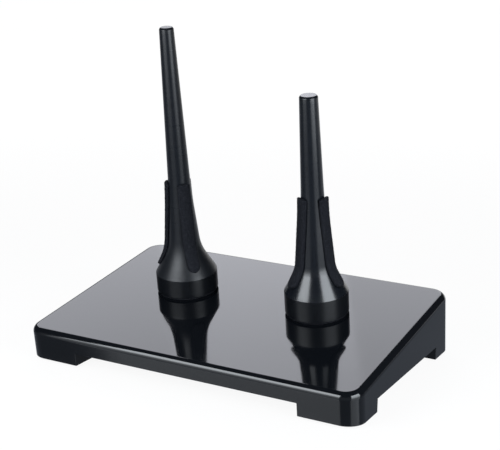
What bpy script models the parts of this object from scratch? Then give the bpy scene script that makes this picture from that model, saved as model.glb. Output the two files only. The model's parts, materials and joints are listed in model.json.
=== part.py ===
"""Two-peg oboe stand.

A lacquered block with a sloping top stands on four legs cut from its own corners. Two turned pegs of different
heights screw into it square to the slope, and three felt strips on each peg centre the bell that is set over it.

Metres, +Z up. The origin is on the floor under the middle of the block, +X is to the right and +Y to the back,
where the block is taller.
"""

import math

import bmesh
import bpy

# Gap that touching pieces keep between them.
FIT_GAP = 0.0003

# Block. The depth lies along the sloping top, and the front height is square to it.
BLOCK_WIDTH = 0.225
BLOCK_DEPTH = 0.1487
FRONT_HEIGHT = 0.0197
SLOPE = math.radians(8.2)
CORNER_RADIUS = 0.0114
EDGE_ROUND = 0.0034

# Legs, left standing at the corners by two level channels that cross under the block.
LEG_WIDTH = 0.0368
LEG_DEPTH = 0.0279
LEG_HEIGHT = 0.0082

# Round rubber pads stuck under the legs.
PAD_RADIUS = 0.0090
PAD_THICKNESS = 0.0007
PAD_CHAMFER = 0.0002

# Where the pegs stand: apart along the block, and back from the front edge along the slope.
PEG_SPACING = 0.0940
PEG_SETBACK = 0.0883

# Pegs. Above the rim of its foot each one draws in as a cone to the neck, then slowly to the waist, and from there
# in a long straight taper to the tip.
FOOT_RADIUS = 0.0200
FOOT_CHAMFER = 0.0005
FLARE_ANGLE = math.radians(30.0)
WAIST_BLEND_RADIUS = 0.4000
TIP_CHAMFER = 0.0008
TIP_SHOULDER = 0.0016
TALL_HEIGHT = 0.1737
TALL_RIM_HEIGHT = 0.0134
TALL_NECK_RADIUS = 0.0107
TALL_NECK_BLEND_RADIUS = 0.0300
TALL_WAIST_RADIUS = 0.0073
TALL_WAIST_HEIGHT = 0.0676
TALL_TIP_RADIUS = 0.0045
SHORT_HEIGHT = 0.1389
SHORT_RIM_HEIGHT = 0.0152
SHORT_NECK_RADIUS = 0.0109
SHORT_NECK_BLEND_RADIUS = 0.0160
SHORT_WAIST_RADIUS = 0.0072
SHORT_WAIST_HEIGHT = 0.0703
SHORT_TIP_RADIUS = 0.0056

# Felt ring under each peg, so that it never turns on the lacquer.
RING_THICKNESS = 0.0008
RING_OUTER_RADIUS = 0.0190
RING_INNER_RADIUS = 0.0072

# Threaded stud in each peg, and the brass insert in the block that it screws into.
STUD_RADIUS = 0.0040
STUD_CHAMFER = 0.0008
STUD_IN_PEG = 0.0140
STUD_IN_BLOCK = 0.0120
INSERT_RADIUS = 0.0060
INSERT_LENGTH = 0.0130
INSERT_CHAMFER = 0.0005

# Felt strips, wrapped lengthways round the shaft. Heights are above the block, angles are from +X towards the back.
STRIPS_PER_PEG = 3
STRIP_WIDTH = 0.0084
STRIP_THICKNESS = 0.0022
STRIP_TOP = 0.0751
TALL_STRIP_BOTTOM = 0.0177
TALL_STRIP_ANGLE = math.radians(-38.5)
SHORT_STRIP_BOTTOM = 0.0200
SHORT_STRIP_ANGLE = math.radians(-4.5)

# How finely curves are cut into facets.
CORNER_STEPS = 9
EDGE_STEPS = 5
TURNED_STEPS = 56
SMALL_TURNED_STEPS = 36
BLEND_STEPS = 6
STRIP_END_ROWS = 5
STRIP_COLUMNS = 6
SHARP_ANGLE = math.radians(32.0)

# How far to each side along a curve the points lie that its direction is taken from.
DIRECTION_REACH = 0.0002

# Heights that follow from the sizes above, from the top of the block up.
RING_BOTTOM = FIT_GAP
FOOT_BOTTOM = RING_BOTTOM + RING_THICKNESS + FIT_GAP
LEG_BOTTOM = PAD_THICKNESS + FIT_GAP

TALL_PEG = {
    "name": "tall_peg",
    "side": -1,
    "height": TALL_HEIGHT,
    "rim_height": TALL_RIM_HEIGHT,
    "neck_radius": TALL_NECK_RADIUS,
    "neck_blend_radius": TALL_NECK_BLEND_RADIUS,
    "waist_radius": TALL_WAIST_RADIUS,
    "waist_height": TALL_WAIST_HEIGHT,
    "tip_radius": TALL_TIP_RADIUS,
    "strip_bottom": TALL_STRIP_BOTTOM,
    "strip_angle": TALL_STRIP_ANGLE,
}
SHORT_PEG = {
    "name": "short_peg",
    "side": 1,
    "height": SHORT_HEIGHT,
    "rim_height": SHORT_RIM_HEIGHT,
    "neck_radius": SHORT_NECK_RADIUS,
    "neck_blend_radius": SHORT_NECK_BLEND_RADIUS,
    "waist_radius": SHORT_WAIST_RADIUS,
    "waist_height": SHORT_WAIST_HEIGHT,
    "tip_radius": SHORT_TIP_RADIUS,
    "strip_bottom": SHORT_STRIP_BOTTOM,
    "strip_angle": SHORT_STRIP_ANGLE,
}


def clear_scene():
    for obj in list(bpy.data.objects):
        bpy.data.objects.remove(obj, do_unlink=True)


def finish(name, colour, roughness, metallic=0.0):
    """A plain Principled material."""
    material = bpy.data.materials.new(name)
    material.use_nodes = True
    shader = material.node_tree.nodes["Principled BSDF"]
    shader.inputs["Base Color"].default_value = (*colour, 1.0)
    shader.inputs["Roughness"].default_value = roughness
    shader.inputs["Metallic"].default_value = metallic
    return material


def lacquer():
    return finish("black_lacquer", (0.010, 0.011, 0.014), 0.08)


def satin_stain():
    return finish("satin_black", (0.016, 0.018, 0.022), 0.34)


def felt():
    return finish("black_felt", (0.008, 0.009, 0.011), 0.95)


def steel():
    return finish("zinc_plated_steel", (0.60, 0.61, 0.63), 0.30, 1.0)


def brass():
    return finish("brass", (0.72, 0.53, 0.24), 0.28, 1.0)


def rubber():
    return finish("black_rubber", (0.020, 0.020, 0.021), 0.80)


def new_object(name, bm, material=None, parent=None, location=(0.0, 0.0, 0.0)):
    """Puts the shape in bm into the scene as one object, smooth but for its sharp edges."""
    bmesh.ops.recalc_face_normals(bm, faces=bm.faces)
    mesh = bpy.data.meshes.new(name)
    bm.to_mesh(mesh)
    bm.free()
    mesh.shade_smooth()
    mesh.set_sharp_from_angle(angle=SHARP_ANGLE)
    if material:
        mesh.materials.append(material)
    obj = bpy.data.objects.new(name, mesh)
    obj.parent = parent
    obj.location = location
    bpy.context.scene.collection.objects.link(obj)
    return obj


def new_empty(name, parent=None, location=(0.0, 0.0, 0.0), tilt=0.0):
    empty = bpy.data.objects.new(name, None)
    empty.empty_display_size = FOOT_RADIUS
    empty.parent = parent
    empty.location = location
    empty.rotation_euler.x = tilt
    bpy.context.scene.collection.objects.link(empty)
    return empty


def turned(profile, steps):
    """A solid of revolution about Z from (radius, height) points that start and end on the axis or meet in a ring."""
    bm = bmesh.new()
    points = [bm.verts.new((radius, 0.0, height)) for radius, height in profile]
    edges = [bm.edges.new(pair) for pair in zip(points, points[1:])]
    bmesh.ops.spin(bm, geom=points + edges, cent=(0, 0, 0), axis=(0, 0, 1), angle=math.tau, steps=steps,
                   use_merge=True)
    bmesh.ops.remove_doubles(bm, verts=bm.verts, dist=1e-6)
    return bm


def turned_rod(radius, bottom, top, chamfer, steps=SMALL_TURNED_STEPS):
    """A round rod or disc with both ends chamfered."""
    profile = [(0.0, bottom), (radius - chamfer, bottom), (radius, bottom + chamfer),
               (radius, top - chamfer), (radius - chamfer, top), (0.0, top)]
    return turned(profile, steps)


def turned_tube(inner, outer, bottom, top, chamfer=0.0, steps=SMALL_TURNED_STEPS):
    """A round tube, its bore chamfered at the top where chamfer isn't 0."""
    profile = [(inner, bottom), (outer, bottom), (outer, top)]
    profile += [(inner + chamfer, top), (inner, top - chamfer)] if chamfer else [(inner, top)]
    return turned(profile + profile[:1], steps)


def cut(obj, cutter):
    cutter.hide_render = True
    cutter.display_type = "WIRE"
    modifier = obj.modifiers.new(cutter.name, "BOOLEAN")
    modifier.operation = "DIFFERENCE"
    modifier.solver = "EXACT"
    modifier.object = cutter


def block_edge_y():
    """World Y of the line where the front wall and the sloping top would meet, with the block centred on Y = 0."""
    front_reach = EDGE_ROUND * (math.cos(SLOPE) + math.sin(SLOPE) - 1.0)
    back_height = FRONT_HEIGHT + BLOCK_DEPTH * math.tan(SLOPE)
    back_reach = BLOCK_DEPTH * math.cos(SLOPE) + back_height * math.sin(SLOPE)
    return -(front_reach + back_reach) / 2.0


def block_foot_y():
    """World Y of the lines on which the front and back walls reach the leg bottoms."""
    front = block_edge_y() + FRONT_HEIGHT * math.sin(SLOPE)
    return front, front + BLOCK_DEPTH / math.cos(SLOPE)


def rounded_outline(inset):
    """The block's outline in its top plane, drawn in by inset, as (x, y) points that run anticlockwise."""
    radius = CORNER_RADIUS - inset
    reach = BLOCK_WIDTH / 2.0 - CORNER_RADIUS
    front, back = CORNER_RADIUS, BLOCK_DEPTH - CORNER_RADIUS
    outline = []
    for quarter, (x, y) in enumerate([(reach, front), (reach, back), (-reach, back), (-reach, front)]):
        for step in range(CORNER_STEPS + 1):
            angle = (quarter - 1 + step / CORNER_STEPS) * math.pi / 2.0
            outline.append((x + radius * math.cos(angle), y + radius * math.sin(angle)))
    return outline


def block_rings():
    """The block from the level leg bottoms up, in its top plane's own axes, the last rings rounding its top edge."""
    rings = [[(x, y, -FRONT_HEIGHT - y * math.tan(SLOPE)) for x, y in rounded_outline(0.0)]]
    for step in range(EDGE_STEPS + 1):
        angle = step / EDGE_STEPS * math.pi / 2.0
        inset = EDGE_ROUND * (1.0 - math.cos(angle))
        height = EDGE_ROUND * (math.sin(angle) - 1.0)
        rings.append([(x, y, height) for x, y in rounded_outline(inset)])
    return rings


def loft(rings):
    """A closed solid through rings of equal length, with flat ends."""
    bm = bmesh.new()
    rows = [[bm.verts.new(point) for point in ring] for ring in rings]
    for low, high in zip(rows, rows[1:]):
        for i in range(len(low)):
            bm.faces.new((low[i - 1], low[i], high[i], high[i - 1]))
    bm.faces.new(rows[0][::-1])
    bm.faces.new(rows[-1])
    return bm


def channel_outline():
    """The two crossing channels seen from above, as a cross that runs out past the block on all four sides."""
    front, back = block_foot_y()
    x, low, high = BLOCK_WIDTH / 2.0 - LEG_WIDTH, front + LEG_DEPTH, back - LEG_DEPTH
    far_x, far_y = BLOCK_WIDTH, BLOCK_DEPTH
    right = [(x, -far_y), (x, low), (far_x, low), (far_x, high), (x, high), (x, far_y)]
    return right + [(-x, y) for x, y in right[::-1]]


def channel_cutter():
    """Clears everything below the channels' level ceiling."""
    ceiling = LEG_BOTTOM + LEG_HEIGHT
    return new_object("cut_channels", loft([[(x, y, z) for x, y in channel_outline()] for z in (-ceiling, ceiling)]))


def make_block(top_plane, axes):
    block = new_object("base_block", loft(block_rings()), lacquer(), parent=top_plane)
    cut(block, channel_cutter())
    for name, axis in axes.items():
        hole = turned_rod(INSERT_RADIUS + FIT_GAP, insert_bottom() - FIT_GAP, INSERT_LENGTH, 0.0)
        cut(block, new_object("cut_" + name + "_socket", hole, parent=axis))


def make_pads():
    """One pad in the middle of each leg's underside, clear of its rounded corner."""
    front, back = block_foot_y()
    x = (BLOCK_WIDTH - LEG_WIDTH) / 2.0
    for side, sign in (("left", -1), ("right", 1)):
        for end, y in (("front", front + LEG_DEPTH / 2.0), ("back", back - LEG_DEPTH / 2.0)):
            pad = turned_rod(PAD_RADIUS, 0.0, PAD_THICKNESS, PAD_CHAMFER)
            new_object("foot_pad_" + end + "_" + side, pad, rubber(), location=(sign * x, y, 0.0))


def insert_bottom():
    return -FIT_GAP - INSERT_LENGTH


def lean(low, high):
    """Angle from upright at which a straight side draws in between two (radius, height) points."""
    return math.atan2(low[0] - high[0], high[1] - low[1])


def blend(before, corner, after, radius):
    """An arc in place of a hollow corner of a profile, as (radius, height) points."""
    low, high = lean(before, corner), lean(corner, after)
    reach = radius * math.tan((low - high) / 2.0)
    start = (corner[0] + reach * math.sin(low), corner[1] - reach * math.cos(low))
    centre = (start[0] + radius * math.cos(low), start[1] + radius * math.sin(low))
    points = []
    for step in range(BLEND_STEPS + 1):
        angle = low + (high - low) * step / BLEND_STEPS
        points.append((centre[0] - radius * math.cos(angle), centre[1] - radius * math.sin(angle)))
    return points


def shaft_profile(peg):
    """The peg's outside from the rim to the chamfered tip."""
    flare_rise = (FOOT_RADIUS - peg["neck_radius"]) / math.tan(FLARE_ANGLE)
    rim = (FOOT_RADIUS, peg["rim_height"])
    neck = (peg["neck_radius"], peg["rim_height"] + flare_rise)
    waist = (peg["waist_radius"], peg["waist_height"])
    shoulder = (peg["tip_radius"], peg["height"] - TIP_SHOULDER)
    points = [rim]
    points += blend(rim, neck, waist, peg["neck_blend_radius"])
    points += blend(neck, waist, shoulder, WAIST_BLEND_RADIUS)
    return points + [shoulder, (peg["tip_radius"] - TIP_CHAMFER, peg["height"])]


def peg_profile(peg):
    """Round the whole section of a peg, with the blind hole for the stud in its foot."""
    hole_radius = STUD_RADIUS + FIT_GAP
    hole_top = FOOT_BOTTOM + STUD_IN_PEG + FIT_GAP
    points = [(0.0, hole_top), (hole_radius, hole_top), (hole_radius, FOOT_BOTTOM)]
    points += [(FOOT_RADIUS - FOOT_CHAMFER, FOOT_BOTTOM), (FOOT_RADIUS, FOOT_BOTTOM + FOOT_CHAMFER)]
    points += shaft_profile(peg)
    points.append((0.0, peg["height"]))
    return points


def walk(profile):
    """The length along a profile up to each of its points."""
    lengths = [0.0]
    for (r0, h0), (r1, h1) in zip(profile, profile[1:]):
        lengths.append(lengths[-1] + math.hypot(r1 - r0, h1 - h0))
    return lengths


def along(profile, lengths, distance):
    """(radius, height) at a distance along a profile."""
    index = 0
    while index < len(lengths) - 2 and lengths[index + 1] < distance:
        index += 1
    (r0, h0), (r1, h1) = profile[index], profile[index + 1]
    share = (distance - lengths[index]) / (lengths[index + 1] - lengths[index])
    return r0 + (r1 - r0) * share, h0 + (h1 - h0) * share


def facing(profile, lengths, distance):
    """The direction square out of a profile at a distance along it."""
    r0, h0 = along(profile, lengths, distance - DIRECTION_REACH)
    r1, h1 = along(profile, lengths, distance + DIRECTION_REACH)
    step = math.hypot(r1 - r0, h1 - h0)
    return (h1 - h0) / step, (r0 - r1) / step


def length_at_height(profile, lengths, height):
    for (r0, h0), (r1, h1), low, high in zip(profile, profile[1:], lengths, lengths[1:]):
        if h1 >= height:
            return low + (high - low) * (height - h0) / (h1 - h0)
    return lengths[-1]


def strip_rows(peg):
    """(distance along the peg's profile, half width) of each row: a half-round lower end, then parallel sides.

    Above the end there is a row wherever the profile has a point, so that the strip follows its curves.
    """
    profile = shaft_profile(peg)
    lengths = walk(profile)
    bottom = length_at_height(profile, lengths, peg["strip_bottom"])
    top = length_at_height(profile, lengths, STRIP_TOP)
    half = STRIP_WIDTH / 2.0
    rows = []
    for step in range(STRIP_END_ROWS + 1):
        angle = step / STRIP_END_ROWS * math.pi / 2.0
        rows.append((bottom + half * (1.0 - math.cos(angle)), half * math.sin(angle)))
    rows += [(distance, half) for distance in lengths if bottom + half < distance < top]
    return rows + [(top, half)]


def strip_layer(bm, peg, middle, proud):
    """One face of a strip, proud of the peg's surface, as rows of vertices. The first row is a single point."""
    profile = shaft_profile(peg)
    lengths = walk(profile)
    layer = []
    for distance, half in strip_rows(peg):
        radius, height = along(profile, lengths, distance)
        out_r, out_h = facing(profile, lengths, distance)
        columns = STRIP_COLUMNS if half else 0
        row = []
        for column in range(columns + 1):
            across = half * (2.0 * column / columns - 1.0) if columns else 0.0
            angle = middle + across / radius
            reach = radius + proud * out_r
            row.append(bm.verts.new((reach * math.cos(angle), reach * math.sin(angle), height + proud * out_h)))
        layer.append(row)
    return layer


def strip_faces(bm, layer):
    """Joins the rows of one layer, its end point with a fan."""
    point, first = layer[0][0], layer[1]
    for left, right in zip(first, first[1:]):
        bm.faces.new((point, right, left))
    for low, high in zip(layer[1:], layer[2:]):
        for i in range(len(low) - 1):
            bm.faces.new((low[i], low[i + 1], high[i + 1], high[i]))


def strip_rim(layer):
    """The vertices round the edge of one layer, in order."""
    right = [row[-1] for row in layer[1:]]
    left = [row[0] for row in layer[1:]]
    return [layer[0][0]] + right + layer[-1][-2:0:-1] + left[::-1]


def felt_strip(peg, middle):
    """A strip wrapped round the shaft and down over the flare."""
    bm = bmesh.new()
    inner = strip_layer(bm, peg, middle, FIT_GAP)
    outer = strip_layer(bm, peg, middle, FIT_GAP + STRIP_THICKNESS)
    strip_faces(bm, inner)
    strip_faces(bm, outer)
    inside, outside = strip_rim(inner), strip_rim(outer)
    for i in range(len(inside)):
        bm.faces.new((inside[i - 1], inside[i], outside[i], outside[i - 1]))
    return bm


def make_peg(peg, axis):
    name = peg["name"]
    new_object(name, turned(peg_profile(peg), TURNED_STEPS), satin_stain(), parent=axis)
    stud = turned_rod(STUD_RADIUS, -STUD_IN_BLOCK, FOOT_BOTTOM + STUD_IN_PEG, STUD_CHAMFER)
    new_object(name + "_stud", stud, steel(), parent=axis)
    ring = turned_tube(RING_INNER_RADIUS, RING_OUTER_RADIUS, RING_BOTTOM, RING_BOTTOM + RING_THICKNESS)
    new_object(name + "_felt_ring", ring, felt(), parent=axis)
    insert = turned_tube(STUD_RADIUS + FIT_GAP, INSERT_RADIUS, insert_bottom(), -FIT_GAP, INSERT_CHAMFER)
    new_object(name + "_insert", insert, brass(), parent=axis)
    for index in range(STRIPS_PER_PEG):
        middle = peg["strip_angle"] + index * math.tau / STRIPS_PER_PEG
        new_object(name + "_felt_strip_" + str(index + 1), felt_strip(peg, middle), felt(), parent=axis)


def main():
    clear_scene()
    edge_height = LEG_BOTTOM + FRONT_HEIGHT * math.cos(SLOPE)
    top_plane = new_empty("top_plane", location=(0.0, block_edge_y(), edge_height), tilt=SLOPE)
    axes = {}
    for peg in (TALL_PEG, SHORT_PEG):
        place = (peg["side"] * PEG_SPACING / 2.0, PEG_SETBACK, 0.0)
        axes[peg["name"]] = new_empty(peg["name"] + "_axis", parent=top_plane, location=place)
        make_peg(peg, axes[peg["name"]])
    make_block(top_plane, axes)
    make_pads()


main()
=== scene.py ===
import json
import math

import bmesh
import bpy
import numpy as np
from mathutils import Matrix, Vector

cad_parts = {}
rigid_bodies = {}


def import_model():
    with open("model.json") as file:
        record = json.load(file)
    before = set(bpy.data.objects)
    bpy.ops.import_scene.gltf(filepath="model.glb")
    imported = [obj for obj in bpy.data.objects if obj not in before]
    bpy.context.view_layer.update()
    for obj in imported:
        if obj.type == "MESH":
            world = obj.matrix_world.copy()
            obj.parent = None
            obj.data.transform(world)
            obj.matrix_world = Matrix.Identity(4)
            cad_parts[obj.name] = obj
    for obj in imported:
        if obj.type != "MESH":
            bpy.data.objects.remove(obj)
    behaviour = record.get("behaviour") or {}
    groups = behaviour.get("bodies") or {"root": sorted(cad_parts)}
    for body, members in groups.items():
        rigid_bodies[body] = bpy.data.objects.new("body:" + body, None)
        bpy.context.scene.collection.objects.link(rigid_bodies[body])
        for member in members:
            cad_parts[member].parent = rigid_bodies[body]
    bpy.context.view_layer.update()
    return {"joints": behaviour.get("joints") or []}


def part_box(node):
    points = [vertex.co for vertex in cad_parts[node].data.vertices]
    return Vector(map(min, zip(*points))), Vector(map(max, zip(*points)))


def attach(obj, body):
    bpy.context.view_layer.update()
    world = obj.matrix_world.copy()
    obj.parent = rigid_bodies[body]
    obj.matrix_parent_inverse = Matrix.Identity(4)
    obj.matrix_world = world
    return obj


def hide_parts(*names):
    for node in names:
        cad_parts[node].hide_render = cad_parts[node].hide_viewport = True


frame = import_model()

turnJoints = {joint["child"]: joint for joint in frame["joints"] if joint["type"] == "hinge"}
pegFeet = {name: np.array(joint["pos_m"]) for name, joint in turnJoints.items()}
pegLean = turnJoints["tall_peg"]["axis"]
slope = math.atan2(-pegLean[1], pegLean[2])  # of the block's top, which both pegs stand square to
black = (0.0, 0.0, 0.0)
white = (1.0, 1.0, 1.0)


# One socket of a node tree. Arithmetic on wires and numbers adds Math nodes.
class Wire:
    def __init__(self, tree, socket=None):
        self.tree = tree
        self.socket = socket

    # Any node: its type, settings that are set first, then the values or wires of its sockets.
    def node(self, kind, settings=None, sockets=None, output=0):
        made = self.tree.nodes.new(kind)
        for key, value in (settings or {}).items():
            if key == "stops":
                self.setStops(made.color_ramp, value)
            else:
                setattr(made, key, value)
        for key, value in (sockets or {}).items():
            self.feed(made.inputs[key], value)
        return Wire(self.tree, made.outputs[output])

    def feed(self, target, value):
        if isinstance(value, Wire):
            self.tree.links.new(value.socket, target)
        else:
            target.default_value = value

    def setStops(self, band, stops):
        while len(band.elements) < len(stops):
            band.elements.new(1.0)
        for element, (position, grey) in zip(band.elements, stops):
            element.position = position
            element.color = (grey, grey, grey, 1.0)

    def math(self, operation, first, second):
        return self.node("ShaderNodeMath", {"operation": operation}, {0: first, 1: second})

    def mixColours(self, share, first, second):
        colours = {0: share, 6: first, 7: second}
        return self.node("ShaderNodeMix", {"data_type": "RGBA"}, colours, 2)

    def __add__(self, other):
        return self.math("ADD", self, other)

    def __sub__(self, other):
        return self.math("SUBTRACT", self, other)

    def __rsub__(self, other):
        return self.math("SUBTRACT", other, self)

    def __mul__(self, other):
        return self.math("MULTIPLY", self, other)

    __radd__ = __add__
    __rmul__ = __mul__


# A new material, the fixed values of its Principled shader set, and a wire to build the rest with.
def startMaterial(name, fixed):
    material = bpy.data.materials.new(name)
    material.use_nodes = True
    shader = material.node_tree.nodes["Principled BSDF"]
    for socket, value in fixed.items():
        shader.inputs[socket].default_value = value
    return material, Wire(material.node_tree), shader


def opaque(colour, share=1.0):
    return tuple(part * share for part in colour) + (1.0,)


def objectPlace(wire):
    return wire.node("ShaderNodeTexCoord", output="Object")


# Object coordinates seen from a peg's own axis: the Mapping node undoes its place and its lean.
def pegPlace(wire, foot):
    sockets = {"Vector": objectPlace(wire), "Location": tuple(foot), "Rotation": (slope, 0.0, 0.0)}
    return wire.node("ShaderNodeMapping", {"vector_type": "TEXTURE"}, sockets)


def stretched(wire, place, scale):
    return wire.node("ShaderNodeMapping", None, {"Vector": place, "Scale": scale})


def noise(wire, place, scale, detail=3.0, roughness=0.5):
    sockets = {"Vector": place, "Scale": scale, "Detail": detail, "Roughness": roughness}
    return wire.node("ShaderNodeTexNoise", None, sockets)


# Goes evenly from 0 at low to 1 at high.
def ramp(wire, value, low, high):
    return wire.node("ShaderNodeValToRGB", {"stops": [(low, 0.0), (high, 1.0)]}, {0: value})


# Goes smoothly from 0 at low to 1 at high, or back where low is the greater one.
def smoothStep(wire, value, low, high):
    return wire.node("ShaderNodeMapRange", {"interpolation_type": "SMOOTHSTEP"},
                     {"Value": value, "From Min": low, "From Max": high})


# The three coordinates of a place.
def separated(wire, place):
    parts = wire.node("ShaderNodeSeparateXYZ", None, {"Vector": place}).socket.node
    return [Wire(wire.tree, parts.outputs[axis]) for axis in "XYZ"]


def bump(wire, height, distance, strength=1.0):
    return wire.node("ShaderNodeBump", None, {"Height": height, "Distance": distance, "Strength": strength})


lacquerLook = {
    "colour": (0.0028, 0.0035, 0.0048),
    "roughness": 0.055,
    "unevenness": 0.15,       # of the colour
    "haze": 0.05,             # added to the roughness where the polish is cloudy
    "hazeScale": 26.0,
    "hazeRamp": (0.45, 0.75),
    "streaks": 0.05,          # added to the roughness along the polishing marks
    "streakScale": (45.0, 1400.0, 1400.0),
    "streakRamp": (0.58, 0.80),
    "ripple": 0.000004,       # depth of the waviness of the lacquer, in metres
    "rippleScale": 60.0,
}


# Piano lacquer: near black, roughness = base + cloudy haze + fine polishing marks, and a faint ripple.
def blackLacquer(look):
    material, wire, shader = startMaterial("blackLacquer", {"IOR": 1.5})
    place = objectPlace(wire)
    cloud = noise(wire, place, look["hazeScale"], 4.0)
    marks = noise(wire, stretched(wire, place, look["streakScale"]), 1.0, 2.0)
    haze = ramp(wire, cloud, *look["hazeRamp"])
    lines = ramp(wire, marks, *look["streakRamp"])
    roughness = look["roughness"] + haze * look["haze"] + lines * look["streaks"]
    darker = opaque(look["colour"], 1.0 - look["unevenness"])
    colour = wire.mixColours(cloud, darker, opaque(look["colour"], 1.0 + look["unevenness"]))
    wave = noise(wire, place, look["rippleScale"], 1.0)
    wire.feed(shader.inputs["Base Color"], colour)
    wire.feed(shader.inputs["Roughness"], roughness)
    wire.feed(shader.inputs["Normal"], bump(wire, wave, look["ripple"]))
    return material


satinLook = {
    "colour": (0.0040, 0.0054, 0.0080),
    # painted shade: a darker copy of the stain, for the foot below the rim
    "footPaintedShade": (0.0028, 0.0036, 0.0052),
    "footRoughness": 0.29,
    "flareHeights": (0.045, 0.028),   # between which the shaft's finish turns into the flare's
    "cloud": 0.10,                    # added to the roughness in patches
    "cloudScale": 70.0,
    "markScale": (8.0, 8.0, 520.0),
    "poreScale": (2400.0, 2400.0, 150.0),
    "poreRamp": (0.30, 0.42),
    "grain": 0.000006,                # depth of the wood's pores under the stain
}


# Satin stain on turned wood: turning marks = noise of the height along the axis, pores = noise drawn out
# along it. The shaft, the flare and the foot below the rim each have a roughness of their own, and the foot
# has a darker colour that is painted shade.
def satinBlack(look, peg, name, foot):
    fixed = {"IOR": 1.5, "Specular IOR Level": peg["gloss"]}
    material, wire, shader = startMaterial(name + "Satin", fixed)
    place = pegPlace(wire, foot)
    marks = noise(wire, stretched(wire, place, look["markScale"]), 1.0, 4.0, 0.7)
    pores = noise(wire, stretched(wire, place, look["poreScale"]), 1.0, 2.0)
    pits = ramp(wire, pores, *look["poreRamp"])
    cloud = noise(wire, place, look["cloudScale"], 4.0)
    height = separated(wire, place)[2]
    flare = smoothStep(wire, height, *look["flareHeights"])
    below = wire.math("LESS_THAN", height, peg["rimHeight"])
    roughness = peg["roughness"] + flare * (peg["flareRoughness"] - peg["roughness"])
    roughness = roughness + below * (look["footRoughness"] - peg["flareRoughness"])
    roughness = roughness + (marks - 0.5) * peg["streaks"] + cloud * look["cloud"]
    # Below the rim the stain gives way to its darker copy: painted shade on the foot.
    stainAndFootShade = wire.mixColours(below, opaque(look["colour"]), opaque(look["footPaintedShade"]))
    colour = wire.mixColours(pits, opaque(black), stainAndFootShade)
    turned = bump(wire, marks, peg["marks"])
    grained = wire.node("ShaderNodeBump", None, {"Height": pits, "Distance": look["grain"], "Normal": turned})
    wire.feed(shader.inputs["Base Color"], colour)
    wire.feed(shader.inputs["Roughness"], roughness)
    wire.feed(shader.inputs["Normal"], grained)
    return material


feltLook = {
    "colour": (0.0088, 0.0096, 0.0125),
    "lint": (0.031, 0.033, 0.039),
    "lintRamp": (0.48, 0.75),
    "gloss": 0.06,
    "fine": (1800.0, 0.6),    # scale of a noise and its share of the nap
    "coarse": (700.0, 0.8),
    "nap": 0.00035,           # depth of the matted surface, in metres
    "napStrength": 0.9,
}


# Pressed felt: matted fibres = fine noise on coarse noise, with paler lint where the nap stands up.
def blackFelt(look):
    fixed = {"Roughness": 1.0, "Specular IOR Level": look["gloss"]}
    material, wire, shader = startMaterial("blackFelt", fixed)
    place = objectPlace(wire)
    fine = noise(wire, place, look["fine"][0], 3.0, 0.7)
    coarse = noise(wire, place, look["coarse"][0], 3.0, 0.6)
    nap = fine * look["fine"][1] + coarse * look["coarse"][1]
    lint = ramp(wire, fine, *look["lintRamp"])
    colour = wire.mixColours(lint, opaque(look["colour"]), opaque(look["lint"]))
    wire.feed(shader.inputs["Base Color"], colour)
    wire.feed(shader.inputs["Normal"], bump(wire, nap, look["nap"], look["napStrength"]))
    return material


steelLook = {
    "colour": (0.60, 0.61, 0.63),
    "worn": (0.50, 0.50, 0.50),
    "roughness": 0.24,
    "cloud": 0.16,            # added to the roughness in patches
    "cloudScale": 500.0,
    "unevenness": 0.00001,    # depth, in metres
}


# Zinc-plated steel: cloudy grey, roughness = base + noise.
def zincSteel(look):
    material, wire, shader = startMaterial("zincSteel", {"Metallic": 1.0})
    place = objectPlace(wire)
    cloud = noise(wire, place, look["cloudScale"], 4.0)
    colour = wire.mixColours(cloud, opaque(look["worn"]), opaque(look["colour"]))
    wire.feed(shader.inputs["Base Color"], colour)
    wire.feed(shader.inputs["Roughness"], look["roughness"] + cloud * look["cloud"])
    wire.feed(shader.inputs["Normal"], bump(wire, cloud, look["unevenness"]))
    return material


brassLook = {
    "colour": (0.72, 0.53, 0.24),
    "dull": (0.55, 0.40, 0.19),
    "dullScale": 400.0,
    "roughness": 0.20,
    "lines": 0.2,             # added to the roughness along the turning lines
    "lineScale": (30.0, 30.0, 5200.0),
    "lineDepth": 0.000006,
}


# Machined brass: turning lines = noise of the height along the peg's axis.
def machinedBrass(look, name, foot):
    material, wire, shader = startMaterial(name + "Brass", {"Metallic": 1.0})
    place = pegPlace(wire, foot)
    lines = noise(wire, stretched(wire, place, look["lineScale"]), 1.0, 2.0)
    cloud = noise(wire, place, look["dullScale"], 3.0)
    colour = wire.mixColours(cloud, opaque(look["dull"]), opaque(look["colour"]))
    wire.feed(shader.inputs["Base Color"], colour)
    wire.feed(shader.inputs["Roughness"], look["roughness"] + lines * look["lines"])
    wire.feed(shader.inputs["Normal"], bump(wire, lines, look["lineDepth"]))
    return material


rubberLook = {
    "colour": (0.020, 0.020, 0.021),
    "dust": (0.045, 0.044, 0.042),
    "dustScale": 300.0,
    "dustRamp": (0.55, 0.80),
    "gloss": 0.35,
    "roughness": 0.7,
    "dulling": 0.25,          # added to the roughness where the dust is thick
    "pebbleScale": 2600.0,
    "pebbleDepth": 0.00006,
}


# Moulded rubber: fine pebble, with dust where a coarse noise is high.
def blackRubber(look):
    material, wire, shader = startMaterial("blackRubber", {"Specular IOR Level": look["gloss"]})
    place = objectPlace(wire)
    pebble = noise(wire, place, look["pebbleScale"], 2.0)
    dust = noise(wire, place, look["dustScale"], 4.0)
    patches = ramp(wire, dust, *look["dustRamp"])
    colour = wire.mixColours(patches, opaque(look["colour"]), opaque(look["dust"]))
    wire.feed(shader.inputs["Base Color"], colour)
    wire.feed(shader.inputs["Roughness"], look["roughness"] + dust * look["dulling"])
    wire.feed(shader.inputs["Normal"], bump(wire, pebble, look["pebbleDepth"]))
    return material


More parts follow.
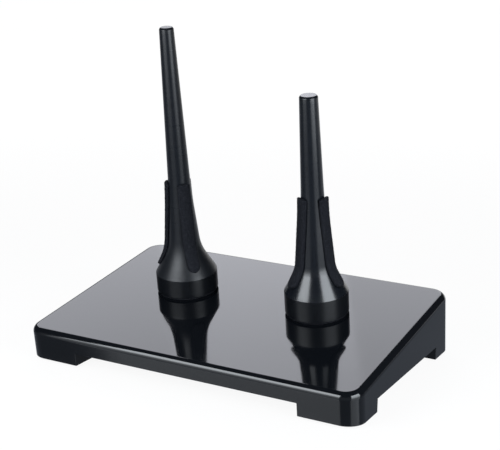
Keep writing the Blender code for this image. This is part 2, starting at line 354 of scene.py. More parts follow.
# The way through corners (radius, height, rounding), straight between them, where each corner with a rounding
# is replaced by the arc of that radius which touches both of its sides.
def roundedPath(corners, chord=0.0011, facet=math.radians(9.0)):
    points = []
    for index, (radius, height, rounding) in enumerate(corners):
        here = np.array([radius, height])
        if not rounding:
            points.append(here[None])
            continue
        back = np.array(corners[index - 1][:2]) - here
        onward = np.array(corners[index + 1][:2]) - here
        back /= np.linalg.norm(back)
        onward /= np.linalg.norm(onward)
        half = math.acos(back @ onward) / 2.0
        middle = back + onward
        centre = here + middle / np.linalg.norm(middle) * rounding / math.sin(half)
        first = here + back * rounding / math.tan(half) - centre
        last = here + onward * rounding / math.tan(half) - centre
        start = math.atan2(first[1], first[0])
        sweep = (math.atan2(last[1], last[0]) - start + math.pi) % math.tau - math.pi
        steps = math.ceil(max(abs(sweep) / facet, abs(sweep) * rounding / chord))
        angle = start + sweep * np.linspace(0.0, 1.0, steps + 1)
        points.append(centre + rounding * np.stack([np.cos(angle), np.sin(angle)], 1))
    return np.concatenate(points)


# The same path with extra points, so that no two lie further apart than step.
def evenedPath(path, step):
    lengths = lengthAlong(path)
    pieces = [np.linspace(low, high, math.ceil((high - low) / step) + 1)[:-1]
              for low, high in zip(lengths, lengths[1:]) if high > low]
    distance = np.append(np.concatenate(pieces), lengths[-1])
    return np.stack([np.interp(distance, lengths, path[:, 0]), np.interp(distance, lengths, path[:, 1])], 1)


# Length along a path up to each of its points.
def lengthAlong(path):
    return np.append(0.0, np.cumsum(np.linalg.norm(np.diff(path, axis=0), axis=1)))


# A path turned about the Z axis: (radius cos angle, radius sin angle, height) for each point and each angle.
def turnedGrid(path, columns):
    angle = np.linspace(0.0, math.tau, columns, endpoint=False)
    radius, height = path[:, :1], path[:, 1:]
    return np.stack([radius * np.cos(angle), radius * np.sin(angle), height + 0.0 * angle], 2)


# Points in a peg's own axes moved to the peg: tipped by the slope about X and carried to its foot.
def ontoPeg(points, foot):
    tip = np.array(Matrix.Rotation(slope, 3, "X"))
    return points @ tip.T + foot


# A grid of points (rows, columns, 3) as a closed mesh. Columns run round, a row shrunk to a point closes an
# end, tube joins the last row to the first, and caps puts a flat face on each end.
def gridMesh(name, points, tube=False, caps=False, sharp=math.radians(35.0)):
    rows, columns = points.shape[:2]
    index = np.arange(rows * columns).reshape(rows, columns)
    low, high = (index, np.roll(index, -1, 0)) if tube else (index[:-1], index[1:])
    quads = np.stack([low, np.roll(low, -1, 1), np.roll(high, -1, 1), high], 2).reshape(-1, 4).tolist()
    ends = [index[0][::-1].tolist(), index[-1].tolist()] if caps else []
    mesh = bpy.data.meshes.new(name)
    mesh.from_pydata(points.reshape(-1, 3).tolist(), [], quads + ends)
    closeMesh(mesh)
    mesh.shade_smooth()
    mesh.set_sharp_from_angle(angle=sharp)
    return mesh


# Merges what lies in one place, and turns all faces outwards.
def closeMesh(mesh, samePlace=1e-7):
    bm = bmesh.new()
    bm.from_mesh(mesh)
    bmesh.ops.remove_doubles(bm, verts=bm.verts, dist=samePlace)
    bmesh.ops.recalc_face_normals(bm, faces=bm.faces)
    bm.to_mesh(mesh)
    bm.free()


# Puts a mesh into the scene as a piece of the stand.
def addPiece(name, mesh, material, body, node):
    piece = bpy.data.objects.new(name, mesh)
    bpy.context.scene.collection.objects.link(piece)
    mesh.materials.clear()
    mesh.materials.append(material)
    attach(piece, body)
    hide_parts(node)
    return piece


block = {
    "width": 0.225,           # lengths here and below are in metres
    "depth": 0.1487,          # along the slope
    "frontHeight": 0.0197,    # square to the slope
    "cornerRadius": 0.0114,
    "edgeRound": 0.0040,
    "pegSetback": 0.0883,     # of the pegs from the front edge, along the slope
    "legBottom": 0.0010,
    "legHeight": 0.0082,
    "legWidth": 0.0368,
    "legDepth": 0.0279,
    "socketRadius": 0.0063,
    "socketDepth": 0.0136,
    "socketColumns": 64,
    "softEdge": 0.00035,      # rounding of the sawn edges below
    "cornerSteps": 24,
    "edgeSteps": 12,
}


# The outline in the top plane, anticlockwise and drawn in by inset: four quarter arcs joined by straights.
def blockOutline(look, inset):
    turn = np.linspace(0.0, math.pi / 2.0, look["cornerSteps"] + 1)
    angle = (np.arange(4)[:, None] - 1.0) * math.pi / 2.0 + turn
    reach = look["width"] / 2.0 - look["cornerRadius"]
    front, back = look["cornerRadius"], look["depth"] - look["cornerRadius"]
    centre = np.array([(reach, front), (reach, back), (-reach, back), (-reach, front)])[:, None]
    radius = look["cornerRadius"] - inset
    return (centre + radius * np.stack([np.cos(angle), np.sin(angle)], 2)).reshape(-1, 2)


# The block as rings in its top plane's axes: a level foot, walls square to the top, a quarter round of the
# top's edge, and a narrow flat ring that keeps the round out of the flat top's shading.
def blockRings(look):
    foot = blockOutline(look, 0.0)
    rings = [np.column_stack([foot, -look["frontHeight"] - foot[:, 1] * math.tan(slope)])]
    for angle in np.linspace(0.0, math.pi / 2.0, look["edgeSteps"] + 1):
        ring = blockOutline(look, look["edgeRound"] * (1.0 - math.cos(angle)))
        rings.append(np.column_stack([ring, np.full(len(ring), look["edgeRound"] * (math.sin(angle) - 1.0))]))
    ring = blockOutline(look, look["edgeRound"] + look["softEdge"])
    rings.append(np.column_stack([ring, np.zeros(len(ring))]))
    return np.array(rings)


# A solid to cut with, from its outline in plan, between two heights.
def cutter(name, outline, low, high):
    rings = np.array([np.column_stack([outline, np.full(len(outline), height)]) for height in (low, high)])
    return bpy.data.objects.new(name, gridMesh(name, rings, caps=True))


# The two channels that cross under the block, in plan.
def channelOutline(look, front, back):
    x = look["width"] / 2.0 - look["legWidth"]
    low, high, far = front + look["legDepth"], back - look["legDepth"], look["width"]
    right = [(x, -far), (x, low), (far, low), (far, high), (x, high), (x, far)]
    return np.array(right + [(-px, py) for px, py in right[::-1]])


# Takes the cutters away from a mesh and returns what is left.
def cutAway(name, mesh, cutters):
    body = bpy.data.objects.new(name, mesh)
    scene = bpy.context.scene.collection.objects
    scene.link(body)
    for tool in cutters:
        scene.link(tool)
        modifier = body.modifiers.new(tool.name, "BOOLEAN")
        modifier.operation = "DIFFERENCE"
        modifier.solver = "EXACT"
        modifier.object = tool
    left = bpy.data.meshes.new_from_object(body.evaluated_get(bpy.context.evaluated_depsgraph_get()))
    for done in [body, *cutters]:
        bpy.data.objects.remove(done)
    return left


# Joins what lies in one plane, and rounds every edge that is sharper than a quarter round's facets.
def softenEdges(mesh, width, segments=3, samePlace=2e-6, level=math.radians(0.05), corner=math.radians(40.0)):
    bm = bmesh.new()
    bm.from_mesh(mesh)
    bmesh.ops.remove_doubles(bm, verts=bm.verts, dist=samePlace)
    bmesh.ops.dissolve_limit(bm, angle_limit=level, verts=bm.verts, edges=bm.edges)
    sharp = [edge for edge in bm.edges if edge.is_manifold and edge.calc_face_angle() > corner]
    bmesh.ops.bevel(bm, geom=sharp, offset=width, segments=segments, profile=0.5, affect="EDGES",
                    clamp_overlap=True)
    bmesh.ops.recalc_face_normals(bm, faces=bm.faces)
    bm.to_mesh(mesh)
    bm.free()
    mesh.shade_smooth()
    mesh.set_sharp_from_angle(angle=math.radians(35.0))


def makeBlock(look, material):
    foot = pegFeet["tall_peg"]
    uphill = np.array([0.0, math.cos(slope), math.sin(slope)])
    corner = np.array([0.0, foot[1], foot[2]]) - look["pegSetback"] * uphill
    mesh = gridMesh("block", ontoPeg(blockRings(look), corner), caps=True)
    front = corner[1] + look["frontHeight"] * math.sin(slope)
    back = front + look["depth"] / math.cos(slope)
    ceiling = look["legBottom"] + look["legHeight"]
    cutters = [cutter("channels", channelOutline(look, front, back), -ceiling, ceiling)]
    for name, place in pegFeet.items():
        path = np.array([(0.0, -look["socketDepth"]), (look["socketRadius"], -look["socketDepth"]),
                         (look["socketRadius"], look["socketDepth"]), (0.0, look["socketDepth"])])
        hole = gridMesh(name + "Hole", ontoPeg(turnedGrid(path, look["socketColumns"]), place))
        cutters.append(bpy.data.objects.new(name + "Hole", hole))
    mesh = cutAway("block", mesh, cutters)
    softenEdges(mesh, look["softEdge"])
    piece = addPiece("lacquered_block", mesh, material, "base", "base_block")
    modifier = piece.modifiers.new("flatTop", "WEIGHTED_NORMAL")
    modifier.keep_sharp = True
    print("block made:", len(mesh.polygons), "faces")


pad = {
    "radius": 0.0090,
    "height": 0.00095,
    "rounding": 0.0003,
    "columns": 72,
}


# Round pads under the legs, each a disc with rounded edges.
def makePads(look, material):
    top, edge = look["height"], look["rounding"]
    corners = [(0.0, 0.0, 0.0), (look["radius"], 0.0, edge), (look["radius"], top, edge), (0.0, top, 0.0)]
    path = roundedPath(corners)
    for place in ("front_left", "front_right", "back_left", "back_right"):
        node = "foot_pad_" + place
        low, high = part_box(node)
        centre = np.array([(low.x + high.x) / 2.0, (low.y + high.y) / 2.0, 0.0])
        mesh = gridMesh("pad_" + place, turnedGrid(path, look["columns"]) + centre)
        addPiece("pad_" + place, mesh, material, "base", node)
    print("pads made")


pegs = {
    "tall_peg": {
        "height": 0.1737,
        "rimHeight": 0.0134,
        "neckRadius": 0.0107,
        "neckRounding": 0.0300,
        "waistRadius": 0.0073,
        "waistHeight": 0.0676,
        "tipRadius": 0.0045,
        "stripBottom": 0.0177,
        "stripAngle": math.radians(-38.5),              # of the first strip, from +X towards the back
        "stripTop": 0.0744,
        "stripSlips": (0.0, math.radians(13.0), 0.0),   # how far each sits from its even place
        "stripPeels": (0.0, 0.0, 0.0),                  # and stands off the wood at its top
        "stripToe": 0.6,                                # thickness of the lower ends, as a share
        "gloss": 0.38,
        "roughness": 0.26,
        "flareRoughness": 0.36,
        "streaks": 0.30,                                # unevenness of the roughness from mark to mark
        "marks": 0.000040,                              # depth of the turning marks
    },
    "short_peg": {
        "height": 0.1389,
        "rimHeight": 0.0152,
        "neckRadius": 0.0109,
        "neckRounding": 0.0160,
        "waistRadius": 0.0072,
        "waistHeight": 0.0703,
        "tipRadius": 0.0056,
        "stripBottom": 0.0200,
        "stripAngle": math.radians(-4.5),
        "stripTop": 0.0763,
        "stripSlips": (0.0, 0.0, 0.0),
        "stripPeels": (0.0005, 0.0, 0.0001),
        "stripToe": 1.1,
        "gloss": 0.50,
        "roughness": 0.19,
        "flareRoughness": 0.15,
        "streaks": 0.12,
        "marks": 0.000012,
    },
}
turning = {
    "footRadius": 0.0200,
    "footBottom": 0.0014,     # above the block's top
    "footRounding": 0.0005,
    "rimRounding": 0.0006,
    "flareAngle": math.radians(30.0),
    "waistRounding": 0.4000,
    "tipChamfer": 0.0008,     # how far the tip's chamfer comes in
    "tipShoulder": 0.0011,    # how far below the top it starts
    "shoulderRounding": 0.0007,
    "tipRounding": 0.0002,
    "holeRadius": 0.0043,     # of the drilled hole for the stud
    "holeTop": 0.0157,
    "drillPoint": 0.0026,
    "rowStep": 0.0035,
    "columns": 144,
}


# Outside of a peg from the foot's rim up: cone to the neck, hollow curve past the waist, taper and tip.
def shaftCorners(peg, look):
    neckHeight = peg["rimHeight"] + (look["footRadius"] - peg["neckRadius"]) / math.tan(look["flareAngle"])
    return [(look["footRadius"], peg["rimHeight"], look["rimRounding"]),
            (peg["neckRadius"], neckHeight, peg["neckRounding"]),
            (peg["waistRadius"], peg["waistHeight"], look["waistRounding"]),
            (peg["tipRadius"], peg["height"] - look["tipShoulder"], look["shoulderRounding"]),
            (peg["tipRadius"] - look["tipChamfer"], peg["height"], look["tipRounding"]),
            (0.0, peg["height"], 0.0)]


# The whole section of a peg, from the drilled hole for its stud round to the tip.
def pegPath(peg, look):
    hole, base = look["holeRadius"], look["footBottom"]
    corners = [(0.0, look["holeTop"] + look["drillPoint"], 0.0), (hole, look["holeTop"], 0.0),
               (hole, base, look["rimRounding"]), (look["footRadius"], base, look["footRounding"])]
    return evenedPath(roundedPath(corners + shaftCorners(peg, look)), look["rowStep"])


stud = {
    "radius": 0.0040,
    "pitch": 0.00125,
    "threadDepth": 0.00070,
    "top": 0.0154,
    "bottom": -0.0120,
    "chamfer": 0.0008,
    "columns": 48,
    "rowsPerTurn": 12,
}
insert = {
    "outerRadius": 0.0060,
    "outerPitch": 0.0026,
    "outerDepth": 0.0007,
    "innerRadius": 0.0044,
    "innerPitch": 0.00125,
    "innerDepth": 0.00025,
    "top": -0.0003,
    "bottom": -0.0133,
    "collar": 0.0012,         # plain length at each end
    "columns": 72,
    "rows": 140,
}


# How far a right-hand thread stands in from its crest: depth times a triangle wave of height over pitch less
# angle over one turn, which is clipped to leave a flat crest and root.
def threadCut(angle, height, pitch, depth, flat=0.2):
    phase = (height / pitch - angle / math.tau) % 1.0
    return depth * np.clip((1.0 + 2.0 * flat) * np.abs(2.0 * phase - 1.0) - flat, 0.0, 1.0)


# A threaded rod: crest radius less the thread's cut, held in by a chamfer at both ends, with flat ends.
def studGrid(look):
    turns = (look["top"] - look["bottom"]) / look["pitch"]
    height = np.linspace(look["bottom"], look["top"], math.ceil(turns * look["rowsPerTurn"]))[:, None]
    angle = np.linspace(0.0, math.tau, look["columns"], endpoint=False)
    fromEnd = np.minimum(height - look["bottom"], look["top"] - height)
    radius = look["radius"] - threadCut(angle, height, look["pitch"], look["threadDepth"])
    radius = np.minimum(radius, look["radius"] - look["chamfer"] + fromEnd)
    radius = np.vstack([0.0 * angle, radius, 0.0 * angle])
    height = np.vstack([height[:1], height, height[-1:]]) + 0.0 * angle
    return np.stack([radius * np.cos(angle), radius * np.sin(angle), height], 2)


# A tube with a coarse wood thread outside and a fine one inside, both fading into plain collars.
def insertGrid(look):
    angle = np.linspace(0.0, math.tau, look["columns"], endpoint=False)
    height = np.linspace(look["bottom"], look["top"], look["rows"])[:, None]
    fromEnd = np.minimum(height - look["bottom"], look["top"] - height)
    fade = np.clip(fromEnd / look["collar"] - 1.0, 0.0, 1.0)
    outer = look["outerRadius"] - fade * threadCut(angle, height, look["outerPitch"], look["outerDepth"])
    inner = look["innerRadius"] - fade * threadCut(angle, height, look["innerPitch"], look["innerDepth"])
    radius = np.vstack([outer, inner[::-1]])
    height = np.vstack([height, height[::-1]]) + 0.0 * angle
    return np.stack([radius * np.cos(angle), radius * np.sin(angle), height], 2)


feltRing = {
    "inner": 0.0072,
    "outer": 0.0190,
    "bottom": 0.00012,
    "top": 0.00128,
    "rounding": 0.0003,
    "rowStep": 0.0015,
    "columns": 144,
}


# The thin felt ring under a foot: a flat section with soft corners.
def feltRingGrid(look):
    sides = [(look["inner"], look["bottom"]), (look["outer"], look["bottom"]),
             (look["outer"], look["top"]), (look["inner"], look["top"])]
    corners = [(*sides[-1], 0.0)] + [(*side, look["rounding"]) for side in sides] + [(*sides[0], 0.0)]
    return turnedGrid(evenedPath(roundedPath(corners)[1:-1], look["rowStep"]), look["columns"])


strip = {
    "count": 3,
    "width": 0.0081,
    "inner": 0.00004,         # clear of the wood
    "outer": 0.00250,
    "edge": 0.00075,          # softness of the cut edges
    "squareness": 16.0,       # power of the section's lower side
    "roundness": 2.6,         # and of its upper side
    "belly": 0.6,             # how low the section is widest: 0 is half way up, 1 on the wood
    "crown": 0.0008,          # rise of the middle of the top edge over its corners
    "crownLength": 0.010,
    "topShare": 0.55,         # of the thickness, left at the top edge
    "pathStep": 0.0008,
    "rowStep": 0.0005,
    "lowRows": 13,            # in the round lower end
    "topRows": 5,             # in the top edge
    "columns": 64,
    "peelLength": 0.020,
    "toeLength": 0.016,       # over which the lower end is thinned or thickened
    "lumps": 0.00010,         # size of the unevenness of the cut felt
    "fibres": 3200,
    "fibreLength": 0.00060,
    "fibreShortest": 0.3,     # of that length
    "fibreWidth": 0.00004,
    "fibreSpread": 0.9,       # how far they lean at random
    "fibreRise": 0.25,        # and how steeply they rise at least
}


# Unevenness over a surface: the mean of many sine waves of random direction, length and phase, scaled so that
# its root mean square is spread.
def lumps(along, across, seed, shortest=0.0006, longest=0.0036, waves=28, spread=0.25):
    draw = np.random.default_rng(seed)
    length = draw.uniform(shortest, longest, waves)
    turn = draw.uniform(0.0, math.tau, waves)
    phase = draw.uniform(0.0, math.tau, waves)
    waveAlong = along[..., None] * np.cos(turn) + across[..., None] * np.sin(turn)
    return np.sin(math.tau * waveAlong / length + phase).mean(-1) * math.sqrt(2.0 * waves) * spread


# Rises from 0 to 1 as a quarter circle does: the root of 1 less the square of 1 less the clipped share.
def quarterCircle(share):
    return np.sqrt(1.0 - (1.0 - np.clip(share, 0.0, 1.0)) ** 2)


# The section of a strip as (across, out) from -1 to 1, with its points spaced evenly round it: half of a
# superellipse on the wood, square and flat, under half of a rounder one.
def stripSection(look, samples=2001):
    thickness = look["outer"] - look["inner"]
    angle = np.linspace(0.0, math.tau, samples)
    power = 2.0 / np.where(np.sin(angle) < 0.0, look["squareness"], look["roundness"])
    across = np.sign(np.cos(angle)) * np.abs(np.cos(angle)) ** power
    out = np.sign(np.sin(angle)) * np.abs(np.sin(angle)) ** power
    out = np.where(out < 0.0, 1.0 - look["belly"], 1.0 + look["belly"]) * out - look["belly"]
    lengths = lengthAlong(np.stack([across * look["width"] / 2.0, out * thickness / 2.0], 1))
    even = np.linspace(0.0, lengths[-1], look["columns"], endpoint=False)
    return np.interp(even, lengths, across), np.interp(even, lengths, out)


# Rows of a strip from its round lower end to its square top: distance along the peg, half width and share of
# the thickness. Near each end the share falls as a quarter circle, and so the edge is soft all round.
def stripRows(look, bottom, top):
    half, edge = look["width"] / 2.0, look["edge"]
    lowTurn = np.linspace(0.0, math.pi / 2.0, look["lowRows"], endpoint=False)
    topTurn = np.linspace(0.0, math.pi / 2.0, look["topRows"])
    middle = np.arange(bottom + half, top - edge, look["rowStep"])
    lowEnd = bottom + half * (1.0 - np.cos(lowTurn))
    distance = np.concatenate([lowEnd, middle, top - edge * (1.0 - np.sin(topTurn))])
    nearTop = quarterCircle((top - distance) / edge)
    width = half * quarterCircle((distance - bottom) / half) - edge * (1.0 - nearTop)
    share = look["topShare"] + (1.0 - look["topShare"]) * nearTop
    return distance, width, share * quarterCircle((distance - bottom) / edge)


# Wraps strip places (distance along the peg's outside, across, height off the wood) round the shaft:
# angle = middle + across / radius, and out square to the outside line.
def wrapOntoShaft(path, distance, across, out, middle):
    lengths = lengthAlong(path)
    radius = np.interp(distance, lengths, path[:, 0])
    height = np.interp(distance, lengths, path[:, 1])
    direction = np.gradient(path, lengths, axis=0)
    leanIn = np.interp(distance, lengths, direction[:, 0])
    rise = np.interp(distance, lengths, direction[:, 1])
    angle = middle + across / radius
    reach = radius + out * rise
    return np.stack([reach * np.cos(angle), reach * np.sin(angle), height - out * leanIn], -1)


# The strip's own surface, lumpy like cut felt, as a grid with both ends drawn to a point.
def stripGrid(look, peg, middle, peel, seed):
    path = evenedPath(roundedPath(shaftCorners(peg, turning))[2:], look["pathStep"])
    bottom, top = np.interp((peg["stripBottom"], peg["stripTop"]), path[:, 1], lengthAlong(path))
    distance, half, share = stripRows(look, bottom, top)
    sectionAcross, sectionOut = stripSection(look)
    thickness = look["outer"] - look["inner"]
    across = half[:, None] * sectionAcross
    toe = np.interp(distance, (bottom, bottom + look["toeLength"]), (peg["stripToe"], 1.0))
    out = look["inner"] + thickness / 2.0 * toe[:, None] * (1.0 + share[:, None] * sectionOut)
    near = np.clip(1.0 - (top - distance) / look["crownLength"], 0.0, 1.0)
    along = distance[:, None] + look["crown"] * near[:, None] * (0.5 - (across / half.max()) ** 2)
    fade = np.clip(np.minimum(along - bottom, top - along) / look["edge"], 0.0, 1.0)
    rough = look["lumps"] * lumps(along, across + out, seed) * fade
    lifted = np.clip(1.0 - (top - along) / look["peelLength"], 0.0, 1.0) ** 2
    out = out + peel * lifted
    across = across + rough * sectionAcross
    out = out + rough * np.maximum(sectionOut, 0.0) - look["lumps"] * np.maximum(sectionOut, 0.0)
    points = wrapOntoShaft(path, along, across, out, middle)
    centre = look["inner"] + thickness / 2.0
    ends = np.array([bottom, top + look["crown"] / 2.0])
    ends = wrapOntoShaft(path, ends, 0.0, np.array([centre * peg["stripToe"], centre + peel]), middle)
    columns = np.ones((1, look["columns"], 1))
    return np.vstack([ends[:1, None] * columns, points, ends[1:, None] * columns])


# Loose fibres over the strip's face: each a tiny closed spike along the surface's normal plus a random lean.
def addFibres(mesh, look, seed):
    draw = np.random.default_rng(seed)
    count = len(mesh.vertices)
    points = np.empty(count * 3)
    mesh.vertices.foreach_get("co", points)
    normals = np.empty(count * 3)
    mesh.vertex_normals.foreach_get("vector", normals)
    points, normals = points.reshape(-1, 3), normals.reshape(-1, 3)
    chosen = draw.choice(count, look["fibres"], replace=count < look["fibres"])
    lean = normals[chosen] + look["fibreSpread"] * draw.normal(size=(len(chosen), 3))
    lean -= normals[chosen] * np.minimum((lean * normals[chosen]).sum(1) - look["fibreRise"], 0.0)[:, None]
    lean /= np.linalg.norm(lean, axis=1)[:, None]
    side = np.cross(lean, draw.normal(size=(len(chosen), 3)))
    side *= look["fibreWidth"] / np.linalg.norm(side, axis=1)[:, None]
    other = np.cross(lean, side)
    root = points[chosen] - normals[chosen] * look["fibreWidth"]
    length = look["fibreLength"] * draw.uniform(look["fibreShortest"], 1.0, len(chosen))[:, None]
    left, right = root - side / 2.0 + other, root - side / 2.0 - other
    spikes = np.stack([root + side, left, right, root + lean * length], 1)
    first = count + 4 * np.arange(len(chosen))[:, None]
    faces = np.concatenate([first + corner for corner in ((0, 2, 1), (0, 1, 3), (1, 2, 3), (2, 0, 3))])
    old = [tuple(face.vertices) for face in mesh.polygons]
    joined = bpy.data.meshes.new(mesh.name + "WithFibres")
    joined.from_pydata(np.vstack([points, spikes.reshape(-1, 3)]).tolist(), [], old + faces.tolist())
    joined.shade_smooth()
    joined.set_sharp_from_angle(angle=math.radians(60.0))
    return joined


def makePeg(name, felt, steel):
    peg, foot = pegs[name], pegFeet[name]
    wood = gridMesh(name + "Wood", ontoPeg(turnedGrid(pegPath(peg, turning), turning["columns"]), foot))
    addPiece(name + "_turned", wood, satinBlack(satinLook, peg, name, foot), name, name)
    rod = gridMesh(name + "Stud", ontoPeg(studGrid(stud), foot), sharp=math.radians(30.0))
    addPiece(name + "_threaded_stud", rod, steel, name, name + "_stud")
    nut = gridMesh(name + "Insert", ontoPeg(insertGrid(insert), foot), tube=True, sharp=math.radians(30.0))
    brass = machinedBrass(brassLook, name, foot)
    addPiece(name + "_threaded_insert", nut, brass, "base", name + "_insert")
    ring = gridMesh(name + "Ring", ontoPeg(feltRingGrid(feltRing), foot), tube=True)
    addPiece(name + "_ring_of_felt", ring, felt, name + "_ring", name + "_felt_ring")
    for index in range(strip["count"]):
        middle = peg["stripAngle"] + index * math.tau / strip["count"] + peg["stripSlips"][index]
        seed = 10 * (index + 1) + len(name)
        grid = stripGrid(strip, peg, middle, peg["stripPeels"][index], seed)
        mesh = gridMesh(name + "Strip", ontoPeg(grid, foot), sharp=math.radians(60.0))
        mesh = addFibres(mesh, strip, seed)
        node = name + "_felt_strip_" + str(index + 1)
        addPiece(name + "_soft_strip_" + str(index + 1), mesh, felt, name, node)
    print(name, "made:", len(wood.polygons), "faces of wood,", len(rod.polygons), "of stud")


studio = {
    "aim": (0.0, 0.0, 0.08),
    "floorSize": 30.0,
    "floorColour": (0.06, 0.06, 0.06),
    "floorGlow": 0.92,            # of the floor round the stand, as it is seen
    "floorGrain": 0.03,           # unevenness of its colour
    "grainScale": 40.0,
    "floorWhite": (0.25, 1.2),    # distances between which it turns plain white
    "floorBelow": 0.0003,
    "fill": 0.25,                 # of the world, on what isn't seen straight
}
# Azimuths run from +Y, the back, towards +X; radiance is what a mirror would show of the lamp. Each softbox
# is a panel in bands, brighter at the top, because one lamp can't grade its light.
rightPanel = {"azimuth": 107.9, "width": 0.35, "colour": (0.88, 0.94, 1.0)}
leftPanel = {"azimuth": -160.5, "width": 0.305, "colour": (0.90, 0.95, 1.0)}
scrim = {"azimuth": -33.0, "width": 2.10, "colour": (0.91, 0.925, 1.0)}
lamps = {
    "rightSoftbox": {**rightPanel, "elevation": 23.5, "distance": 0.523, "height": 0.163, "radiance": 9.0},
    "rightSoftboxMiddle": {**rightPanel, "elevation": 6.8, "distance": 0.484, "height": 0.125,
                           "radiance": 6.5},
    "rightSoftboxFoot": {**rightPanel, "elevation": -5.0, "distance": 0.482, "height": 0.075,
                         "radiance": 2.6},
    "leftSoftbox": {**leftPanel, "elevation": 25.3, "distance": 0.438, "height": 0.176, "radiance": 9.2},
    "leftSoftboxMiddle": {**leftPanel, "elevation": 8.2, "distance": 0.400, "height": 0.065, "radiance": 5.5},
    "leftSoftboxFoot": {**leftPanel, "elevation": 0.0, "distance": 0.396, "height": 0.050, "radiance": 1.6},
    "leftSoftboxHem": {**leftPanel, "elevation": -7.6, "distance": 0.400, "height": 0.055, "radiance": 1.1},
    "backScrim": {**scrim, "elevation": 33.0, "distance": 2.0, "height": 0.68, "radiance": 2.65},
    "backScrimMiddle": {**scrim, "azimuth": -31.5, "width": 0.42, "elevation": 33.0, "distance": 1.98,
                        "height": 0.68, "radiance": 0.5},
    "backScrimFoot": {**scrim, "elevation": 20.0, "distance": 2.0, "height": 0.24, "radiance": 2.1},
}


# Direction from the object: (sin azimuth, cos azimuth) on the level, raised by the elevation.
def towards(azimuth, elevation):
    turn, rise = math.radians(azimuth), math.radians(elevation)
    return Vector((math.sin(turn) * math.cos(rise), math.cos(turn) * math.cos(rise), math.sin(rise)))


def addLamp(name, look):
    data = bpy.data.lights.new(name, "AREA")
    data.shape = "RECTANGLE"
    data.size = look["width"]
    data.size_y = look["height"]
    data.color = look["colour"]
    data.energy = look["radiance"] * math.pi * look["width"] * look["height"]
    lamp = bpy.data.objects.new(name, data)
    out = towards(look["azimuth"], look["elevation"])
    lamp.location = Vector(studio["aim"]) + out * look["distance"]
    lamp.rotation_euler = out.to_track_quat("Z", "Y").to_euler()
    lamp.visible_camera = False
    bpy.context.scene.collection.objects.link(lamp)


# 1 for rays that see a surface straight, in a mirror or through glass.
def seenRays(wire):
    path = wire.node("ShaderNodeLightPath", output="Is Camera Ray")
    glossy = Wire(wire.tree, path.socket.node.outputs["Is Glossy Ray"])
    through = Wire(wire.tree, path.socket.node.outputs["Is Transmission Ray"])
    return path.math("MINIMUM", path + glossy + through, 1.0)


# White where it is seen, and a soft even fill on everything else.
def makeWorld(look):
    world = bpy.data.worlds.new("studioWorld")
    world.use_nodes = True
    bpy.context.scene.world = world
    wire = Wire(world.node_tree)
    seen = seenRays(wire)
    background = world.node_tree.nodes["Background"]
    background.inputs["Color"].default_value = opaque(white)
    wire.feed(background.inputs["Strength"], seen * (1.0 - look["fill"]) + look["fill"])


def flatSquare(name, size, height):
    corners = np.array([(-1.0, -1.0), (1.0, -1.0), (1.0, 1.0), (-1.0, 1.0)]) * size / 2.0
    mesh = bpy.data.meshes.new(name)
    mesh.from_pydata([(x, y, height) for x, y in corners.tolist()], [], [(0, 1, 2, 3)])
    sheet = bpy.data.objects.new(name, mesh)
    bpy.context.scene.collection.objects.link(sheet)
    return sheet


# A pale sweep: its glow leaves room nearby for the lamps' light and the stand's shadow.
def makeFloor(look):
    floor = flatSquare("paleFloor", look["floorSize"], -look["floorBelow"])
    fixed = {"Roughness": 0.9, "Specular IOR Level": 0.1, "Emission Strength": 1.0}
    material, wire, shader = startMaterial("palePaper", fixed)
    place = objectPlace(wire)
    distance = wire.node("ShaderNodeVectorMath", {"operation": "LENGTH"}, {0: place}, "Value")
    far = smoothStep(wire, distance, *look["floorWhite"])
    glow = wire.mixColours(far, opaque(white, look["floorGlow"]), opaque(white))
    darker = opaque(look["floorColour"], 1.0 - look["floorGrain"])
    paler = opaque(look["floorColour"], 1.0 + look["floorGrain"])
    paper = wire.mixColours(noise(wire, place, look["grainScale"]), darker, paler)
    wire.feed(shader.inputs["Emission Color"], wire.mixColours(seenRays(wire), opaque(black), glow))
    wire.feed(shader.inputs["Base Color"], wire.mixColours(far, paper, opaque(black)))
    floor.data.materials.append(material)


# What only reflections see: a dark gloss table and a dark curtain, as black lacquer is photographed. Both
# glow though they are no lamps, so what they show in reflections is painted light. Each pair of numbers is
# where a glow begins and where it is full, in metres, or as a cosine for the curtain's sides.
darkTable = {
    "colour": (0.045, 0.050, 0.060),
    "roughness": 0.17,
    "ior": 1.65,
    "behind": 1.0,                        # how far it reaches behind the stand
    "glow": (0.085, 0.092, 0.105),
    "nearGlow": (0.150, 0.165, 0.190),    # painted pool of light under the block, beside it and close behind it
    "nearAside": (0.21, 0.13),
    "nearDepth": (-0.085, -0.065),
    "farGlow": (0.36, 0.38, 0.42),        # painted light, further to the left and behind
    "leftAside": (-0.12, -0.20),
    "leftDepth": (-0.08, 0.04),
    "farDepth": (0.14, 0.35),
}
darkCurtain = {
    "radius": 6.0,
    "rows": 25,
    "columns": 48,
    # grey is painted glow too: the cloth itself is black and is lit by nothing
    "grey": (0.035, 0.037, 0.041),
    "frontGlow": (0.22, 0.23, 0.25),      # painted glow, low down on the camera's side
    "frontAside": (-0.2, -0.8),
    "frontHeight": (3.3, 1.8),
    "backGlow": 1.2,                     # painted glow of a bright band, low down behind the stand
    "backAzimuth": -5.0,
    "backAside": (0.87, 0.95),
    "backHeight": (1.44, 0.84),
}


def onlyInReflections(thing):
    thing.visible_camera = False
    thing.visible_diffuse = False
    thing.visible_shadow = False
    thing.visible_transmission = False
    thing.visible_volume_scatter = False


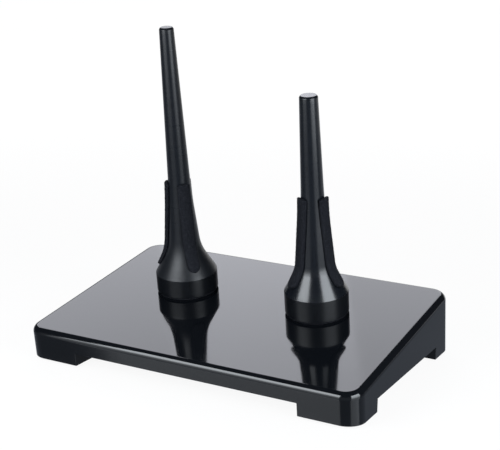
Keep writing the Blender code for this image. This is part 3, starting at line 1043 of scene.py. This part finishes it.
def makeDarkTable(look):
    table = flatSquare("darkTable", studio["floorSize"], -studio["floorBelow"] / 2.0)
    table.data.transform(Matrix.Translation((0.0, look["behind"] - studio["floorSize"] / 2.0, 0.0)))
    fixed = {"Base Color": opaque(look["colour"]), "Roughness": look["roughness"], "IOR": look["ior"],
             "Emission Strength": 1.0}
    material, wire, shader = startMaterial("darkTableTop", fixed)
    across, depth = separated(wire, objectPlace(wire))[:2]
    aside = wire.math("ABSOLUTE", across, 0.0)
    near = smoothStep(wire, aside, *look["nearAside"]) * smoothStep(wire, depth, *look["nearDepth"])
    left = smoothStep(wire, across, *look["leftAside"]) * smoothStep(wire, depth, *look["leftDepth"])
    far = wire.math("MAXIMUM", left, smoothStep(wire, depth, *look["farDepth"]))
    glow = wire.mixColours(near, opaque(look["glow"]), opaque(look["nearGlow"]))
    # Painted light: the table's glow, paler near the block and further off.
    wire.feed(shader.inputs["Emission Color"], wire.mixColours(far, glow, opaque(look["farGlow"])))
    table.data.materials.append(material)
    onlyInReflections(table)


def makeDarkCurtain(look):
    turn = np.linspace(0.0, math.pi, look["rows"])
    path = look["radius"] * np.stack([np.sin(turn), -np.cos(turn)], 1)
    mesh = gridMesh("darkCurtain", turnedGrid(path, look["columns"]))
    curtain = bpy.data.objects.new("darkCurtain", mesh)
    bpy.context.scene.collection.objects.link(curtain)
    fixed = {"Base Color": opaque(black), "Roughness": 1.0, "Emission Strength": 1.0}
    material, wire, shader = startMaterial("darkCloth", fixed)
    place = objectPlace(wire)
    facing = tuple(towards(look["backAzimuth"], 0.0) / look["radius"])
    aside = wire.node("ShaderNodeVectorMath", {"operation": "DOT_PRODUCT"}, {0: place, 1: facing}, "Value")
    height = separated(wire, place)[2]
    front = smoothStep(wire, aside, *look["frontAside"]) * smoothStep(wire, height, *look["frontHeight"])
    back = smoothStep(wire, aside, *look["backAside"]) * smoothStep(wire, height, *look["backHeight"])
    # The cloth's grey and white are painted light, emitted where the masks put them.
    grey = wire.mixColours(front, opaque(look["grey"]), opaque(look["frontGlow"]))
    wire.feed(shader.inputs["Emission Color"], wire.mixColours(back, grey, opaque(white, look["backGlow"])))
    mesh.materials.append(material)
    onlyInReflections(curtain)


cameraLook = {
    "place": (0.3422763, -0.6226044, 0.2680558),
    "heading": 28.4759,       # degrees to the left of +Y
    "down": 14.4788,
    "roll": 0.6641,
    "lens": 84.968,           # millimetres
    "sensorWidth": 36.0,
    "clipStart": 0.01,
}


def makeCamera(look):
    data = bpy.data.cameras.new("camera")
    data.sensor_width = look["sensorWidth"]
    data.lens = look["lens"]
    data.clip_start = look["clipStart"]
    camera = bpy.data.objects.new("camera", data)
    turn = Matrix.Rotation(math.radians(look["heading"]), 4, "Z")
    tip = Matrix.Rotation(math.radians(90.0 - look["down"]), 4, "X")
    roll = Matrix.Rotation(math.radians(look["roll"]), 4, "Z")
    camera.matrix_world = Matrix.Translation(look["place"]) @ turn @ tip @ roll
    bpy.context.scene.collection.objects.link(camera)
    bpy.context.scene.camera = camera


makeCamera(cameraLook)
makeWorld(studio)
makeFloor(studio)
makeDarkTable(darkTable)
makeDarkCurtain(darkCurtain)
for lampName, lampLook in lamps.items():
    addLamp(lampName, lampLook)
bpy.context.scene.view_settings.view_transform = "Standard"
print("studio made:", len(lamps), "lamps")

makeBlock(block, blackLacquer(lacquerLook))
makePads(pad, blackRubber(rubberLook))
stripFelt = blackFelt(feltLook)
studSteel = zincSteel(steelLook)
for pegName in pegs:
    makePeg(pegName, stripFelt, studSteel)
